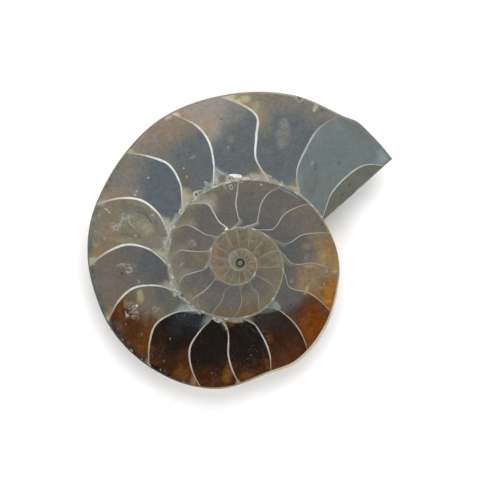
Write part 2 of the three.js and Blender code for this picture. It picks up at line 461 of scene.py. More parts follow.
def face_radius(angle):
    """Where the polished face ends: at the eased edge, or at the wall on the inner whorls."""
    on_rim = 1 - smooth(angle, 380, 388)
    return through(OUTER_WALL, angle) - (edge_width(angle) + INLAY_GAP) * on_rim


def place(angle, share):
    """Spot of the polished face, between the inner wall and the outer wall, kept off the saw cut."""
    inside = max(through(OUTER_WALL, angle + 360), PIT_RADIUS + INLAY_GAP)
    spot = polar(angle, inside + (face_radius(angle) - inside) * share)
    beyond = (spot - lip).dot(cut_normal) + EDGE_ROUND + INLAY_GAP
    return spot - cut_normal * beyond if beyond > 0 and angle < BESIDE_CUT else spot


GLOSS_LIGHT = 0.006   # what the polish adds to every colour, so the minerals are mixed darker by it
MINERAL_DEPTH = (0.78, 0.81, 0.83)   # and by these shares, against the bright table
BLACKEST = 0.001      # no mineral is mixed darker than this
# Each mineral as red, green, blue and frost. Frost is how thickly white needles of crystal grow in
# it, which is nothing here, and more where a patch of frost is laid.
MINERALS = {
    name: Vector((*(max(depth * c - GLOSS_LIGHT, BLACKEST)
                    for depth, c in zip(MINERAL_DEPTH, tone(*shade))), 0))
    for name, shade in {
        # Greys and blues of clayey calcite; in the top chambers the slate greys also hold a painted
        # sheen of reflected light.
        "slate": (96, 101, 103), "blue slate": (92, 98, 102), "pale slate": (105, 109, 107),
        "dark slate": (84, 90, 93), "mauve": (100, 96, 92), "mole": (92, 91, 88), "ash": (88, 88, 86),
        "dove": (126, 128, 124), "celadon": (132, 139, 132), "ice": (140, 151, 154),
        "warm grey": (119, 114, 106),
        # Mudstone.
        "mudstone": (102, 109, 107), "blue mudstone": (107, 116, 116), "tip mudstone": (124, 135, 138),
        "olive mudstone": (100, 98, 86), "dark mudstone": (90, 91, 86),
        # Greens and olives.
        "sage": (104, 111, 90), "moss": (62, 62, 50), "olive": (110, 108, 94),
        "lichen": (120, 117, 104), "oat": (129, 125, 109), "teal": (108, 109, 102), "sea": (92, 95, 91),
        "bottle": (48, 52, 46),
        # Pale calcite and shell.
        "butter": (158, 154, 132), "straw": (141, 134, 110), "bone": (158, 157, 145),
        "dust": (178, 178, 168), "cream": (188, 180, 156), "chalk": (214, 212, 202),
        "ivory": (232, 230, 220), "rose bone": (172, 160, 148), "rose dust": (184, 176, 166),
        "buff": (152, 140, 122), "lavender": (148, 139, 131),
        # Iron-stained calcite, from light to dark.
        "wheat": (160, 140, 102), "tan": (146, 122, 92), "ochre": (146, 124, 90),
        "honey": (136, 97, 44), "sand": (138, 115, 82), "umber": (134, 121, 108),
        "pale khaki": (134, 129, 111), "khaki": (121, 113, 96), "brown khaki": (113, 103, 87),
        "tawny": (124, 107, 86), "fawn": (108, 101, 90), "taupe": (108, 98, 88), "nut": (106, 92, 74),
        "rust": (107, 61, 27), "amber": (98, 65, 32), "bark": (92, 60, 28), "russet": (78, 50, 33),
        "mahogany": (68, 43, 28), "cocoa": (72, 55, 45), "bistre": (52, 37, 29),
        # Nearly black.
        "coal": (50, 46, 43), "ink": (44, 46, 52), "pitch": (36, 32, 29),
    }.items()
}

# The filling of each chamber, by the number of the chamber wall before it: core at the middle; crown
# towards the outer wall, from reach outwards, tilted along the whorl; lee beside the next chamber
# wall; wedge and heel in the corners at the inner wall; root all along the inner wall up to low,
# slanted along the whorl; cap, of cap_size, in the sharp corner at the outer wall; crust, a rind on
# the inner wall.
FILLINGS = {
    # Chambers 1 to 4, across the top of the face: their slate and blue-grey cores are partly the
    # calcite's own grey and partly a painted sheen that stands for the softbox's reflection on the
    # polish.
    1: dict(core="slate", crown="warm grey", reach=0.86, lee="straw", heel="ochre", cap="cream",
            cap_size=1.5, crust="bone"),
    2: dict(core="slate", crown="lavender", reach=0.72, tilt=0.36, lee="buff", wedge="ice", heel="ochre",
            cap="cream", cap_size=1.3, crust="bone"),
    3: dict(core="slate", crown="umber", reach=0.74, tilt=0.12, lee="warm grey", wedge="butter",
            cap="butter", cap_size=1.1, crust="bone"),
    4: dict(core="blue slate", crown="warm grey", reach=0.72, tilt=0.15, lee="umber",
            wedge="butter", cap="straw", crust="bone"),
    5: dict(core="lichen", crown="khaki", reach=0.66, tilt=0.2, lee="tawny", wedge="butter",
            root="warm grey", cap="butter", cap_size=1.3, crust="bone"),
    6: dict(core="mauve", crown="taupe", reach=0.62, tilt=0.15, lee="taupe", wedge="straw",
            root="ash", cap="butter", cap_size=1.1, crust="bone"),
    7: dict(core="fawn", crown="russet", reach=0.6, tilt=0.12, lee="bark", wedge="celadon",
            root="mole", cap="straw", cap_size=0.7, crust="bone"),
    8: dict(core="pitch", crown="mahogany", reach=0.86, tilt=0.1, lee="russet",
            wedge="mole", root="ink", heel="pale slate", cap="bark"),
    9: dict(core="pitch", crown="mahogany", reach=0.8, tilt=0.1, lee="bistre", wedge="moss",
            crust="straw"),
    10: dict(core="pitch", crown="mahogany", reach=0.79, lee="bistre", heel="bark",
             crust="straw"),
    11: dict(core="bistre", crown="russet", reach=0.76, lee="bistre", heel="olive",
             wedge="ash", root="coal"),
    12: dict(core="cocoa", crown="rust", reach=0.62, tilt=0.05, lee="cocoa", root="ash", low=0.42,
             slant=-0.28, heel="pale slate"),
    13: dict(core="tawny", crown="honey", reach=0.82, tilt=-0.25, lee="tawny", root="mole",
             wedge="olive"),
    14: dict(core="mole", crown="sand", reach=0.68, tilt=-0.1, lee="fawn", root="ash", low=0.3,
             wedge="olive"),
    15: dict(core="mauve", crown="fawn", reach=0.7, root="mole", heel="olive"),
    16: dict(core="mauve", crown="mauve", reach=0.8, root="mole", wedge="dove"),
    17: dict(core="mauve", crown="fawn", reach=0.8, root="mole", wedge="dove"),
    18: dict(core="mauve", crown="olive", reach=0.84, root="mauve", lee="bone"),
    19: dict(core="mauve", crown="olive", reach=0.84, lee="oat", heel="straw"),
    20: dict(core="mauve", crown="olive", reach=0.84, lee="oat", heel="oat", root="mauve"),
    21: dict(core="fawn", crown="lichen", reach=0.84, heel="oat", wedge="oat", lee="oat"),
    22: dict(core="mauve", crown="olive", reach=0.84, lee="olive", root="mole"),
    23: dict(core="mauve", crown="fawn", reach=0.8, lee="mole", heel="oat", root="mole"),
    24: dict(core="mauve", crown="nut", reach=0.76, heel="olive", wedge="olive", root="mole"),
    25: dict(core="fawn", crown="nut", reach=0.74, wedge="olive", root="mole"),
    26: dict(core="mauve", crown="brown khaki", reach=0.76, root="mole", heel="olive"),
    27: dict(core="fawn", crown="brown khaki", reach=0.74, root="mauve", heel="olive"),
}
YOUNG_FILLING = dict(core="brown khaki", crown="khaki", reach=0.82, lee="khaki", root="fawn")
FIRST_FILLING = dict(core="khaki", crown="oat", reach=0.7, root="brown khaki")

# Cloudy patches: (direction in degrees, radius in mm, half length and half width in mm, turn from
# the radius in degrees, mineral, strength, how broken up it is).
PATCHES = [
    # Chamber 1, next to the mudstone.
    (72.3, 28.6, 1.3, 1.1, 0, "dove", 0.9, 0.3), (71.0, 26.6, 3.0, 1.6, 0, "dove", 0.6, 0.2),
    (70.3, 24.8, 1.1, 0.9, 0, "dove", 0.6, 0.4), (73.0, 29.2, 0.9, 0.5, 0, "frost", 0.5, 0.3),
    (84.4, 31.1, 1.5, 0.9, 0, "butter", 0.6, 0.1), (88.2, 32.4, 0.9, 0.9, 0, "cream", 0.7, 0.1),
    (85.4, 32.8, 0.6, 0.5, 0, "umber", 0.8, 0.2), (81.7, 29.3, 1.9, 0.8, 0, "ochre", 0.45, 0.1),
    (82.8, 33.6, 0.45, 0.5, 0, "straw", 0.8, 0.2), (79.5, 33.9, 0.4, 0.5, 0, "straw", 0.7, 0.2),
    (75.0, 33.6, 0.6, 0.8, 0, "umber", 0.6, 0.3), (91.5, 32.7, 0.5, 0.6, 0, "ochre", 0.7, 0.2),
    # Chambers 2 and 3.
    (115.9, 32.2, 0.6, 1.1, 0, "cream", 0.8, 0.1), (134.4, 30.9, 0.7, 0.6, 0, "butter", 0.85, 0.1),
    (103.7, 27.9, 1.6, 0.5, 0, "ochre", 0.5, 0.3), (97.7, 28.7, 0.12, 0.3, 0, "ink", 0.7, 0),
    (94.6, 24.5, 0.9, 0.7, 0, "straw", 0.4, 0.3), (96.0, 22.9, 0.3, 0.35, 0, "dust", 0.32, 0.3),
    (114.3, 22.9, 0.3, 0.5, 0, "dust", 0.4, 0.5), (121.7, 20.3, 1.5, 1.4, 0, "taupe", 0.75, 0.3),
    (121.7, 20.1, 0.16, 0.16, 0, "chalk", 0.8, 0), (126.5, 17.9, 1.4, 0.8, 0, "straw", 0.7, 0.2),
    # Chamber 4.
    (152.3, 28.9, 1.6, 1.4, 0, "tan", 0.4, 0.4), (137.2, 24.8, 0.2, 0.2, 0, "chalk", 0.9, 0.2),
    (145.2, 24.9, 0.22, 0.3, 0, "dust", 0.8, 0.3), (147.1, 24.8, 0.25, 0.15, 0, "chalk", 0.9, 0.2),
    # Chambers 5 and 6, cloudy, with clusters of needles.
    (159.4, 20.1, 1.7, 1.6, 0, "straw", 0.5, 0.1), (155.6, 18.2, 0.5, 1.2, 30, "mole", 0.5, 0.2),
    (166.0, 22.5, 3.0, 0.4, 5, "mole", 0.6, 0.2), (169.3, 23.7, 3.0, 0.35, 0, "straw", 0.6, 0.2),
    (163.5, 27.5, 1.6, 0.5, 8, "tan", 0.4, 0.3), (153.9, 25.6, 1.3, 0.9, 0, "taupe", 0.7, 0.4),
    (167.1, 25.8, 1.6, 1.4, 0, "tan", 0.35, 0.4), (165.6, 21.4, 1.2, 0.8, 0, "taupe", 0.5, 0.4),
    (168.7, 21.6, 0.3, 2.0, 60, "straw", 0.6, 0.3), (156.6, 30.0, 0.9, 0.6, 0, "butter", 0.7, 0.1),
    (179.3, 29.4, 0.9, 0.8, 0, "butter", 0.85, 0.1), (161.1, 29.5, 0.5, 0.4, 0, "straw", 0.8, 0.2),
    (167.7, 29.2, 0.5, 0.4, 0, "straw", 0.7, 0.2), (173.0, 28.9, 0.5, 0.4, 0, "straw", 0.6, 0.2),
    (163.9, 25.6, 1.2, 1.1, 0, "frost", 1.0, 0.1), (158.2, 23.8, 1.5, 0.8, 20, "frost", 0.9, 0.1),
    (160.0, 24.9, 0.6, 0.6, 0, "frost", 0.6, 0.2), (159.6, 20.6, 1.9, 1.9, 0, "frost", 0.4, 0.2),
    (151.3, 19.8, 0.2, 0.2, 0, "chalk", 0.8, 0.2), (169.7, 27.3, 0.2, 0.2, 0, "dust", 0.8, 0.2),
    (165.3, 21.4, 0.2, 0.2, 0, "dust", 0.7, 0.2), (181.2, 17.9, 3.2, 2.4, 0, "dark slate", 0.7, 0.1),
    (152.4, 22.6, 3.2, 0.8, 13, "mole", 0.6, 0.25), (168.4, 27.3, 1.6, 1.2, 0, "umber", 0.45, 0.3),
    (181.8, 26.4, 1.6, 1.4, 0, "frost", 0.3, 0.3), (187.8, 26.6, 1.8, 1.3, 0, "tawny", 0.3, 0.3),
    (182.4, 22.3, 0.8, 1.5, 20, "frost", 0.9, 0.1), (181.1, 20.9, 1.0, 0.8, 0, "frost", 0.4, 0.3),
    (181.0, 23.8, 0.8, 0.6, 0, "frost", 0.6, 0.3), (185.0, 23.5, 0.18, 0.18, 0, "pitch", 1.0, 0),
    (182.5, 25.1, 0.12, 0.12, 0, "pitch", 0.8, 0), (190.0, 20.3, 0.15, 0.4, 30, "dust", 0.4, 0.2),
    # Chamber 7, where grey turns to brown.
    (198.4, 20.8, 0.8, 1.6, -18, "straw", 0.95, 0), (196.4, 20.8, 0.5, 0.6, 0, "butter", 0.6, 0.2),
    (199.5, 23.9, 0.7, 1.1, -20, "ochre", 0.6, 0.3), (202.1, 25.6, 0.6, 2.0, 0, "amber", 0.8, 0.3),
    (209.5, 24.0, 1.6, 1.4, 0, "russet", 0.6, 0.5), (214.1, 20.7, 1.2, 1.4, 0, "russet", 0.7, 0.4),
    (204.0, 23.1, 1.0, 2.2, 0, "frost", 0.9, 0.1), (208.5, 19.0, 1.0, 0.8, 0, "frost", 0.6, 0.2),
    (206.5, 21.0, 1.6, 1.8, 0, "frost", 0.3, 0.3), (202.4, 22.1, 0.2, 0.2, 0, "ivory", 0.8, 0),
    (204.9, 24.7, 0.4, 0.5, 0, "rose bone", 0.8, 0.5), (206.8, 27.0, 0.9, 1.1, 0, "mole", 0.4, 0.5),
    (215.8, 24.0, 0.35, 0.35, 0, "taupe", 0.7, 0.1), (208.2, 25.7, 0.15, 0.15, 0, "dust", 0.6, 0),
    (221.6, 25.0, 0.7, 2.4, 40, "amber", 0.7, 0.3),
    # Chambers 8 to 11, brown to nearly black.
    (222.0, 20.8, 2.4, 1.9, 0, "bistre", 0.65, 0.3), (225.3, 22.4, 0.9, 1.2, 0, "russet", 0.25, 0.5),
    (227.2, 20.4, 0.16, 0.16, 0, "dust", 0.45, 0.2), (232.1, 24.6, 0.15, 0.15, 0, "dust", 0.45, 0),
    (225.0, 18.6, 1.3, 1.6, 0, "ink", 0.7, 0.4), (228.0, 19.0, 1.5, 2.2, 0, "frost", 0.15, 0.2),
    (241.6, 24.5, 2.0, 1.6, 0, "amber", 0.9, 0.2), (240.0, 13.0, 0.9, 0.6, 0, "ice", 0.35, 0.1),
    (248.5, 16.5, 2.2, 1.2, 0, "frost", 0.14, 0.2), (263.3, 22.1, 2.0, 1.2, 0, "honey", 0.5, 0.25),
    (268.9, 23.6, 0.55, 0.45, 0, "straw", 0.7, 0.1), (273.4, 22.3, 0.7, 1.6, 0, "amber", 0.8, 0.3),
    (262.8, 12.2, 0.6, 0.8, 0, "amber", 0.6, 0.1), (291.9, 15.9, 1.3, 0.7, 0, "rust", 0.35, 0.4),
    (285.0, 20.6, 1.2, 0.5, 0, "bark", 0.8, 0.3), (305.0, 15.2, 1.8, 1.8, 0, "ink", 0.4, 0.6),
    (299.0, 19.5, 2.0, 1.4, 0, "mahogany", 0.6, 0.5),
    # Chambers 12 to 15, amber at the rim.
    (309.9, 11.0, 1.0, 0.7, 0, "celadon", 0.8, 0.1), (324.9, 12.0, 1.2, 1.2, 0, "ash", 0.5, 0.2),
    (329.3, 15.2, 0.8, 1.6, 60, "cocoa", 0.6, 0.4), (331.5, 17.8, 0.9, 1.2, 0, "bark", 0.4, 0.4),
    (338.8, 14.1, 0.45, 1.3, 0, "wheat", 0.8, 0.1), (349.2, 13.2, 0.9, 1.0, 0, "tan", 0.4, 0.2),
    (345.5, 12.0, 0.8, 0.5, 0, "tan", 0.4, 0.3), (351.4, 12.2, 0.6, 0.7, 0, "taupe", 0.6, 0.3),
    (355.1, 18.7, 0.7, 0.6, 0, "wheat", 0.9, 0.1), (357.3, 13.7, 1.3, 0.24, 0, "wheat", 0.9, 0.5),
    (345.6, 12.9, 0.6, 0.5, 0, "umber", 0.8, 0.1), (340.8, 10.8, 0.5, 0.5, 0, "oat", 0.8, 0.1),
    (6.2, 16.0, 0.5, 0.4, 0, "umber", 0.7, 0.1), (28.0, 15.0, 1.7, 1.5, 0, "taupe", 0.6, 0.3),
    (355.0, 17.1, 0.3, 0.5, 0, "bone", 0.5, 0.4), (345.0, 15.2, 1.2, 1.2, 0, "tan", 0.35, 0.5),
    (8.5, 10.0, 1.0, 1.4, 0, "ash", 0.5, 0.2), (3.5, 13.2, 0.7, 1.2, 0, "umber", 0.5, 0.3),
    (13.9, 13.5, 0.8, 1.0, 0, "tan", 0.5, 0.4),
    # The middle whorl.
    (50.3, 13.6, 0.8, 0.6, 0, "ochre", 0.4, 0.4), (157.0, 10.2, 1.4, 1.2, 0, "frost", 0.6, 0.3),
    (182.0, 11.5, 1.0, 0.8, 0, "frost", 0.5, 0.3), (126.0, 15.0, 1.2, 1.5, 0, "straw", 0.55, 0.4),
    (113.6, 14.0, 0.9, 1.1, 0, "straw", 0.6, 0.3), (207.9, 11.4, 0.9, 1.2, 0, "taupe", 0.6, 0.4),
    (218.5, 12.0, 0.7, 1.5, 0, "oat", 0.6, 0.2), (251.7, 11.2, 0.7, 1.4, 0, "nut", 0.5, 0.3),
    # The inner whorls.
    (150.0, 5.6, 1.2, 2.4, 0, "tan", 0.3, 0.3), (200.0, 5.2, 1.2, 2.0, 0, "tan", 0.3, 0.3),
    (0.0, 2.4, 0.8, 1.2, 0, "tan", 0.4, 0.3), (150.0, 2.3, 1.0, 1.6, 0, "oat", 0.6, 0.1),
]


PATCH_REACH = 2.2     # half sizes of a patch beyond which it adds nothing
PATCH_RAGGED = 0.45   # how far its outline wanders, in half sizes


def drift(spot, size, seed):
    """Slow noise between about -1 and 1, with features of that size in mm."""
    return noise.fractal(Vector((spot.x / size, spot.y / size, seed)), 1.0, 2.0, 4)


def with_patches(colour, spot):
    """The colour after every cloudy patch near the spot is laid over it."""
    out = spot.length
    for angle, radius, length, width, turn, mineral, strength, broken in PATCHES:
        furthest = PATCH_REACH * max(length, width)
        if abs(radius - out) > furthest:
            continue
        away = spot - polar(angle, radius)
        if away.length > furthest:
            continue
        axis = polar(angle + turn, 1)
        reach = math.hypot(away.dot(axis) / length, away.cross(axis) / width)
        reach += PATCH_RAGGED * drift(spot, 1.6, angle)
        cover = strength * (1 - smooth(reach, 0.45, 1.25))
        cover *= 1 - broken * smooth(abs(drift(spot, 0.8, radius)), 0.05, 0.3)
        if mineral == "frost":
            colour.w = max(colour.w, cover)
        else:
            colour = colour.lerp(MINERALS[mineral], cover)
    return colour


# Dark mother-of-pearl left on the outer wall: winding angle, breadth in mm, mineral.
PEARL = [
    (125, 0.1, "teal"), (137, 0.6, "teal"), (150, 0.95, "teal"), (165, 1.15, "teal"),
    (180, 1.2, "sea"), (196, 1.1, "sea"), (203, 0.9, "sea"), (207, 0.95, "bottle"),
    (225, 1.05, "pitch"), (240, 0.85, "pitch"), (249, 0.1, "bark"),
]
DEEPEST_PEARL = 2     # mm in from the outer wall


def along_stops(stops, angle):
    """(breadth, colour) at an angle, blended between stops of (angle, breadth, mineral)."""
    i = min(max(bisect_right(stops, (angle, math.inf)) - 1, 0), len(stops) - 2)
    (a0, w0, m0), (a1, w1, m1) = stops[i:i + 2]
    t = min(max((angle - a0) / (a1 - a0), 0), 1)
    return w0 + (w1 - w0) * t, MINERALS[m0].lerp(MINERALS[m1], t)


def with_pearl(colour, spot):
    """The colour with the mother-of-pearl along the outer wall laid over it."""
    angle = direction(spot) % 360
    deep = through(OUTER_WALL, angle) - spot.length
    if deep > DEEPEST_PEARL or not PEARL[0][0] < angle < PEARL[-1][0]:
        return colour
    breadth, pearl = along_stops(PEARL, angle)
    fine = drift(spot, 0.7, 4)
    cover = smooth(deep + 0.5 * drift(spot, 1.1, 12), 1.25 * breadth, 0.6 * breadth)
    pearl = pearl * (1 + 0.5 * fine) + MINERALS["lichen"] * 0.25 * max(drift(spot, 1.6, 6), 0)
    chips = smooth(fine, 0.42, 0.6) * smooth(angle, 195, 208)
    return colour.lerp(pearl.lerp(MINERALS["dust"], chips), cover)


def filling_colour(filling, u, v, spot):
    """Colour of a chamber's filling, u of the way along the whorl and v of the way out."""
    slow, quick = drift(spot, 5.0, 3), drift(spot, 1.8, 8)
    colour = MINERALS[filling["core"]]
    if "root" in filling:
        top = filling.get("low", 0.3) + filling.get("slant", 0) * (0.5 - u)
        root = 1 - smooth(v + 0.05 * slow + 0.03 * quick, top - 0.14, top + 0.12)
        colour = colour.lerp(MINERALS[filling["root"]], root)
    reach = filling["reach"] - filling.get("tilt", 0) * (u - 0.5)
    crown = smooth(v + 0.08 * slow + 0.03 * quick, reach - 0.22, reach + 0.16)
    colour = colour.lerp(MINERALS[filling["crown"]], crown)
    if "lee" in filling:
        lee = smooth(u + 0.05 * slow, 0.6, 1.0) * smooth(v + 0.05 * quick, 0.4, 0.75)
        colour = colour.lerp(MINERALS[filling["lee"]], 0.85 * lee)
    if "wedge" in filling:
        wedge = smooth(u - 2.3 * v + 0.05 * quick, 0.4, 0.62)
        colour = colour.lerp(MINERALS[filling["wedge"]], wedge)
    if "heel" in filling:
        heel = smooth(1 - u - 2.6 * v + 0.08 * quick, 0.5, 0.8)
        colour = colour.lerp(MINERALS[filling["heel"]], 0.8 * heel)
    if filling is YOUNG_FILLING:
        colour = colour.lerp(MINERALS["nut"], 0.7 * smooth(drift(spot, 1.7, 21), 0.05, 0.4))
        colour = colour.lerp(MINERALS["oat"], 0.5 * smooth(drift(spot, 1.3, 31), 0.1, 0.5))
    colour = with_pearl(colour, spot)
    if "cap" in filling:
        corner = u + 1.1 * v + 0.03 * quick
        size = 0.12 * filling.get("cap_size", 1)
        colour = colour.lerp(MINERALS["ochre"], 0.6 * smooth(corner, 2.1 - 1.9 * size, 2.1 - size))
        cap = smooth(corner, 2.1 - size, 2.1 - 0.65 * size)
        colour = colour.lerp(MINERALS[filling["cap"]] * (1 + 0.4 * drift(spot, 0.6, 2)), cap)
    if "crust" in filling:
        corner = max(smooth(u, 0.86, 1), smooth(u, 0.1, 0))
        rind = smooth(v + 0.05 * quick + 0.03 * slow - 0.09 * corner, 0.06, 0.025)
        colour = colour.lerp(MINERALS[filling["crust"]] * (1 + 0.5 * drift(spot, 0.5, 7)), 0.8 * rind)
    return with_patches(colour, spot)


def lay_grid(bm, columns, rows, spot_at, height, colour_at):
    """Adds a grid of faces, bent so that u and v from 0 to 1 lie at spot_at(u, v)."""
    tint = bm.verts.layers.float_color["Mineral"]
    made = bmesh.ops.create_grid(bm, x_segments=columns, y_segments=rows, size=0.5)
    for vert in made["verts"]:
        u, v = vert.co.x + 0.5, vert.co.y + 0.5
        spot = spot_at(u, v)
        vert[tint] = colour_at(u, v, spot)
        vert.co = put(spot, face_height + height)


def new_inlay():
    """An empty bmesh whose vertices hold a mineral."""
    bm = bmesh.new()
    bm.verts.layers.float_color.new("Mineral")
    return bm


INLAY_DEPTH = 0.045   # of fillings and mudstone; what crosses them goes a little deeper


def close_inlay(bm, depth):
    """Turns every open sheet of an inlay into a slab of that depth, and lays out its UV map."""
    bmesh.ops.dissolve_degenerate(bm, edges=bm.edges, dist=2e-7)
    bmesh.ops.recalc_face_normals(bm, faces=bm.faces)
    if sum(side.normal.z for side in bm.faces) < 0:
        bmesh.ops.reverse_faces(bm, faces=bm.faces)
    border = [edge for edge in bm.edges if edge.is_boundary]
    walls = bmesh.ops.extrude_edge_only(bm, edges=border)["geom"]
    bmesh.ops.translate(bm, vec=(0, 0, -depth * MM),
                        verts=[v for v in walls if isinstance(v, bmesh.types.BMVert)])
    bmesh.ops.edgeloop_fill(bm, edges=[e for e in bm.edges if e.is_boundary])
    bmesh.ops.recalc_face_normals(bm, faces=bm.faces)
    plan = bm.loops.layers.uv.new("OFBake")
    size = 2 * FULL_RADIUS * MM
    for side in bm.faces:
        for loop in side.loops:
            loop[plan].uv = loop.vert.co.x / size + 0.5, loop.vert.co.y / size + 0.5


def new_fillings(name, first, last, columns, rows):
    """One piece for the fillings between those chamber walls."""
    bm = new_inlay()
    for number in range(first, last):
        filling = FILLINGS.get(number, YOUNG_FILLING)
        if SEPTA[number + 1][0] == OLDEST:
            filling = FIRST_FILLING

        def spot_at(u, v):
            before, after = septum_angle(number, v), septum_angle(number + 1, v)
            return place(before + (after - before) * u, v)

        lay_grid(bm, columns, rows, spot_at, 0,
                 lambda u, v, spot: filling_colour(filling, u, v, spot))
    close_inlay(bm, INLAY_DEPTH)
    return new_piece(name, bm, polished_calcite)


def speckle(tree, colour, strength, shade, *kind):
    """The colour with scattered spots of a shade. The kind of spot is its scale, size and rarity."""
    return mix(tree, calc(tree, "MULTIPLY", spots(tree, *kind), strength), colour, tone(*shade))


def laid_mineral(tree):
    """The mineral laid on the mesh, as a colour, and the frost in it."""
    laid = add_node(tree, "ShaderNodeAttribute", attribute_name="Mineral")
    return laid.outputs["Color"], laid.outputs["Alpha"]


# Polished calcite: the mineral colour laid on the mesh, with its painted sheen in the top chambers,
# clouded, and streaked with iron where it is brown; white needles where frost is high; hair cracks, pale
# specks in clusters and dark pits.
polished_calcite, tree, shader = new_finish("polished_calcite", 0.14)
mineral, frost = laid_mineral(tree)
parts = add_node(tree, "ShaderNodeSeparateColor", [("Color", mineral)], mode="HSV")
iron = remap(tree, parts.outputs["Green"], 0.4, 0.85)    # the green output is the saturation
swirl = calc(tree, "SUBTRACT", grain(tree, 620, 6, 0.66, 0.7), 0.5)
strength = remap(tree, iron, 0, 1, 0.5, 2.0)
cloud = calc(tree, "ADD", calc(tree, "MULTIPLY", swirl, strength), 1)
mottle = remap(tree, grain(tree, 2500, 5, 0.7), 0.25, 0.75, 0.82, 1.18)
stone_colour = times(tree, mineral, calc(tree, "MULTIPLY", cloud, mottle))
redness = calc(tree, "MULTIPLY", remap(tree, grain(tree, 800, 5, 0.6, 0.8), 0.42, 0.62, 0, 0.5), iron)
stone_colour = mix(tree, redness, stone_colour, times(tree, stone_colour, (1.22, 0.78, 0.62, 1)))
warmth = remap(tree, grain(tree, 330, 5, 0.62, 0.5), 0.42, 0.62, 0, 0.55)
stone_colour = mix(tree, warmth, stone_colour, times(tree, stone_colour, (1.12, 0.98, 0.84, 1)))
cracks = calc(tree, "MULTIPLY", veins(tree, 300, 2, 2.4, 0.001, 0.006),
              remap(tree, grain(tree, 150), 0.5, 0.6, 0, 0.3))
stone_colour = mix(tree, cracks, stone_colour, tone(150, 146, 134))
where = add_node(tree, "ShaderNodeTexCoord")
along_needles = add_node(tree, "ShaderNodeMapping", [
    ("Vector", where.outputs["Object"]), ("Rotation", (0, 0, 0.55)), ("Scale", (3.4, 1, 1))],
    vector_type="TEXTURE")
needles = remap(tree, add_node(tree, "ShaderNodeTexNoise", [
    ("Vector", along_needles.outputs["Vector"]), ("Scale", 2700), ("Detail", 5), ("Roughness", 0.7),
    ("Distortion", 0.8)]).outputs["Fac"], 0.42, 0.66)
ragged = calc(tree, "MULTIPLY", calc(tree, "SUBTRACT", grain(tree, 1300, 4, 0.65), 0.5), 1.5)
thick = remap(tree, calc(tree, "ADD", frost, calc(tree, "MULTIPLY", ragged, frost)), 0.1, 0.9, 0, 0.62)
stone_colour = mix(tree, calc(tree, "MULTIPLY", needles, thick), stone_colour, tone(180, 182, 176))
specks = calc(tree, "MULTIPLY", remap(tree, grain(tree, 4300, 2, 0.5), 0.65, 0.72, 0, 0.26),
              remap(tree, grain(tree, 340, 3), 0.5, 0.62))
stone_colour = mix(tree, specks, stone_colour, tone(176, 172, 158))
stone_colour = speckle(tree, stone_colour, 0.6, (196, 190, 176), 900, 0.13, 0.97)
stone_colour = speckle(tree, stone_colour, 0.6, (30, 28, 27), 800, 0.16, 0.9)
tree.links.new(stone_colour, shader.inputs["Base Color"])
tree.links.new(remap(tree, grain(tree, 900, 3), 0.3, 0.7, 0.1, 0.22), shader.inputs["Roughness"])
dent(tree, shader, grain(tree, 2400, 2), 0.000004)

new_fillings("outer_fillings", 1, 15, columns=60, rows=76)
new_fillings("middle_fillings", 15, 28, columns=36, rows=44)
new_fillings("inner_fillings", 28, len(SEPTA) - 1, columns=16, rows=18)

# ==== Mudstone at the open end ======================================================================
# The body chamber filled with fine grey mud that set to mudstone: blue-grey up to the last chamber
# wall, and an olive plug beyond it at the sawn end. It polishes less brightly than the calcite.

MUD_PATCHES = [
    (54.3, 24.4, 0.5, 0.35, 20, "butter", 0.7, 0.2), (52.0, 24.2, 0.8, 0.4, 30, "moss", 0.5, 0.2),
    (47.5, 22.0, 1.8, 0.6, 30, "olive mudstone", 0.9, 0.4),
    (45.3, 20.6, 1.2, 0.9, 0, "dark mudstone", 0.7, 0.4),
    (50.0, 29.1, 0.9, 0.2, 10, "olive mudstone", 0.7, 0.2),
    (47.9, 28.3, 0.7, 0.2, 60, "mole", 0.6, 0.2), (45.4, 27.8, 0.22, 0.22, 0, "pitch", 0.9, 0),
    (52.3, 22.3, 0.25, 0.3, 0, "mole", 0.6, 0.2), (35.6, 26.6, 0.3, 0.25, 0, "pitch", 0.85, 0.1),
    (33.6, 24.2, 0.25, 0.2, 0, "pitch", 0.6, 0.1), (36.5, 35.0, 1.6, 1.5, 0, "tip mudstone", 0.85, 0.1),
    (41.5, 34.5, 1.4, 0.5, 48, "slate", 0.7, 0.1), (57.5, 28.5, 2.4, 0.8, 0, "blue mudstone", 0.7, 0.2),
    (51.5, 34.6, 0.8, 1.6, 0, "olive mudstone", 0.5, 0.5),
    (49.0, 31.5, 1.3, 2.0, 0, "pale slate", 0.5, 0.5),
    (43.0, 24.5, 1.2, 0.9, 0, "olive mudstone", 0.35, 0.5),
    (49.5, 34.9, 0.8, 3.6, 0, "olive mudstone", 0.5, 0.3),
    (53.5, 20.0, 1.6, 0.8, 0, "blue mudstone", 0.6, 0.3),
]


def mud_colour(u, v, spot):
    colour = MINERALS["mudstone"].lerp(MINERALS["slate"], 0.12 + 0.35 * drift(spot, 4.0, 5))
    colour = colour.lerp(MINERALS["blue mudstone"], smooth(u + 0.3 * drift(spot, 3.0, 6), 0.75, 1.1))
    return with_patches(colour, spot)


def plug_colour(u, v, spot):
    colour = MINERALS["olive mudstone"].lerp(
        MINERALS["dark mudstone"], 0.5 + 0.8 * drift(spot, 2.2, 7))
    return with_patches(colour, spot)


PATCHES += MUD_PATCHES
mudstone, tree, shader = new_finish("mudstone", 0.3)
mineral = laid_mineral(tree)[0]
silt = remap(tree, grain(tree, 4200, 5, 0.7), 0.3, 0.7, 0.97, 1.03)
cloud = remap(tree, grain(tree, 700, 4, 0.6), 0.3, 0.7, 0.93, 1.07)
mud = times(tree, mineral, calc(tree, "MULTIPLY", silt, cloud))
mud = speckle(tree, mud, 0.4, (60, 62, 60), 1100, 0.16, 0.95)
mud = speckle(tree, mud, 0.3, (160, 160, 150), 1300, 0.13, 0.94)
tree.links.new(mud, shader.inputs["Base Color"])
tree.links.new(remap(tree, silt, 0.97, 1.03, 0.22, 0.4), shader.inputs["Roughness"])
dent(tree, shader, silt, 0.000004)

